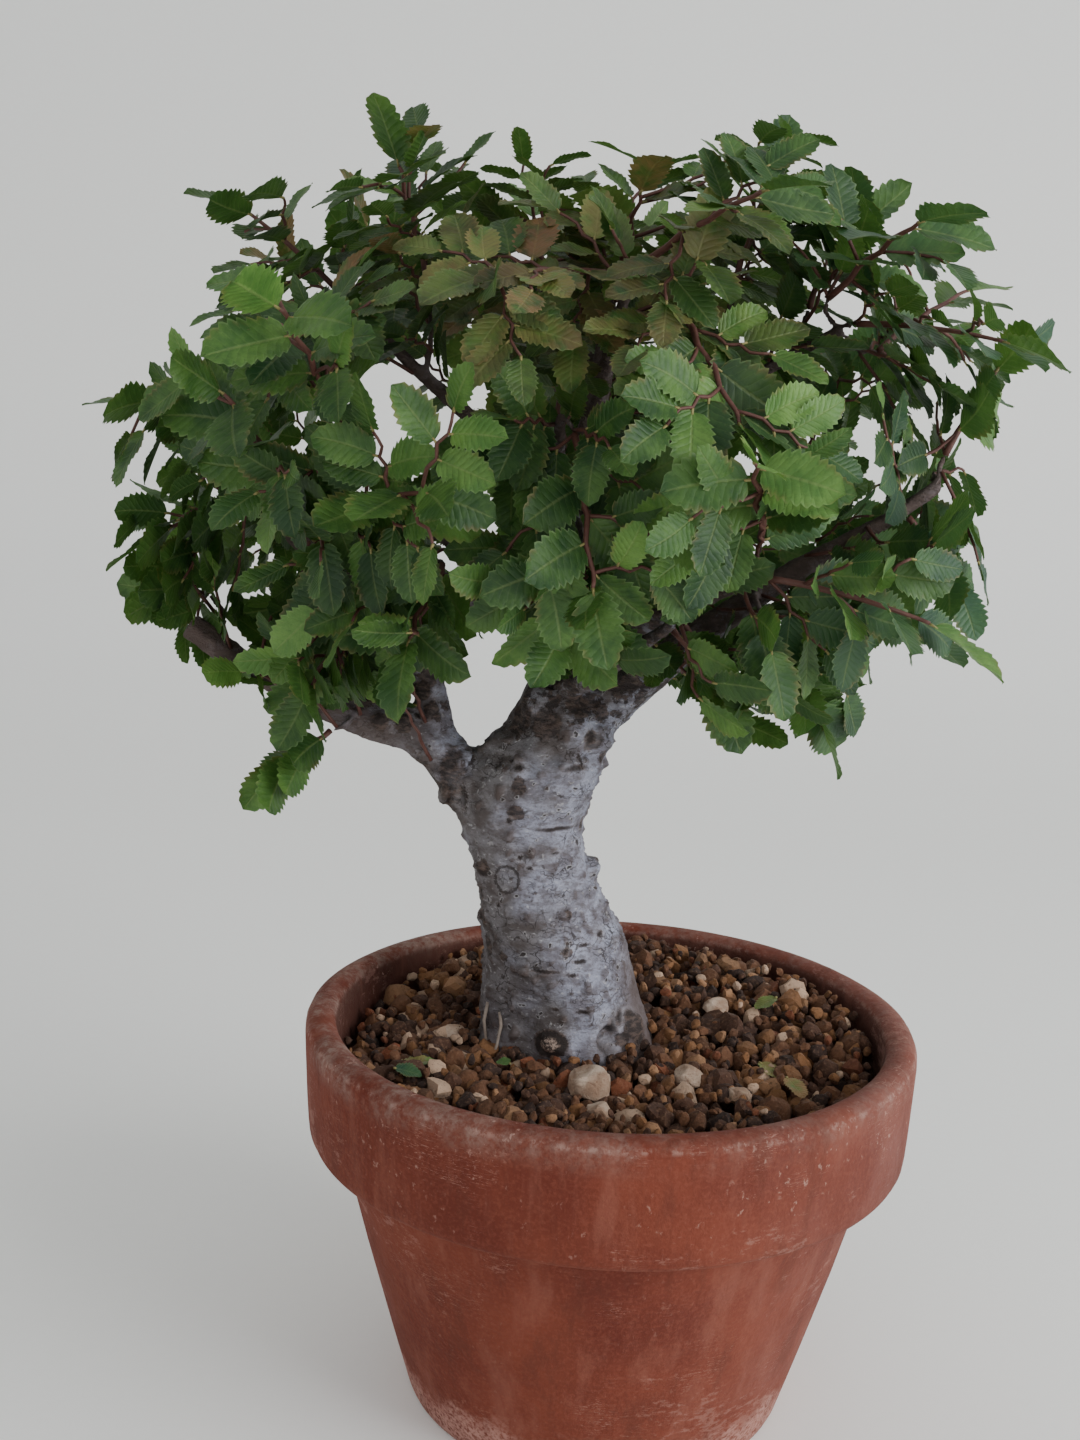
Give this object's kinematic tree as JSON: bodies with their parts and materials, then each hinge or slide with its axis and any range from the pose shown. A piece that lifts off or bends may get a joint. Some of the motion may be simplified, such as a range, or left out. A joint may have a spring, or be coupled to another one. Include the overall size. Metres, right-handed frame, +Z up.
{
  "type": "potted bonsai tree",
  "caption": "A small Japanese zelkova grown as a bonsai: stout leaning trunk, domed crown of toothed leaves, clay granules, and a tapered terracotta pot with a thick rim band",
  "frame": {"origin": "centre of the whole object's box, at the level of the surface that the pot stands on", "axes": "+Z up, -Y towards the viewer of the front, +X to that viewer's right"},
  "size_m": [0.1982, 0.1706, 0.272],
  "materials": {
    "terracotta": "fired and unglazed, with pale mineral marks",
    "granules": "matte fired-clay granules",
    "bark": "grey bark with fine rings and dark pits",
    "leaf": "matte green leaves on a brown twig",
    "stone": "rough pale pumice",
    "fallen_leaf": "matte, drying leaf"
  },
  "bodies": {
    "root": {"pot": "terracotta", "clay_granules": "granules", "trunk_and_branches": "bark", "pale_stone_01": "stone", "pale_stone_02": "stone", "pale_stone_03": "stone", "pale_stone_04": "stone", "pale_stone_05": "stone", "pale_stone_06": "stone", "fallen_leaf_01": "fallen_leaf", "fallen_leaf_02": "fallen_leaf", "leafy_spray_01": "leaf", "leafy_spray_02": "leaf", "leafy_spray_03": "leaf", "leafy_spray_04": "leaf", "leafy_spray_05": "leaf", "leafy_spray_06": "leaf", "leafy_spray_07": "leaf", "leafy_spray_08": "leaf", "leafy_spray_09": "leaf", "leafy_spray_10": "leaf", "leafy_spray_11": "leaf", "leafy_spray_12": "leaf", "leafy_spray_13": "leaf", "leafy_spray_14": "leaf", "leafy_spray_15": "leaf", "leafy_spray_16": "leaf", "leafy_spray_17": "leaf", "leafy_spray_18": "leaf", "leafy_spray_19": "leaf", "leafy_spray_20": "leaf", "leafy_spray_21": "leaf", "leafy_spray_22": "leaf", "leafy_spray_23": "leaf", "leafy_spray_24": "leaf", "leafy_spray_25": "leaf", "leafy_spray_26": "leaf", "leafy_spray_27": "leaf", "leafy_spray_28": "leaf", "leafy_spray_29": "leaf", "leafy_spray_30": "leaf", "leafy_spray_31": "leaf", "leafy_spray_32": "leaf", "leafy_spray_33": "leaf", "leafy_spray_34": "leaf", "leafy_spray_35": "leaf", "leafy_spray_36": "leaf", "leafy_spray_37": "leaf", "leafy_spray_38": "leaf", "leafy_spray_39": "leaf", "leafy_spray_40": "leaf", "leafy_spray_41": "leaf", "leafy_spray_42": "leaf", "leafy_spray_43": "leaf", "leafy_spray_44": "leaf", "leafy_spray_45": "leaf", "leafy_spray_46": "leaf"}
  },
  "joints": []
}
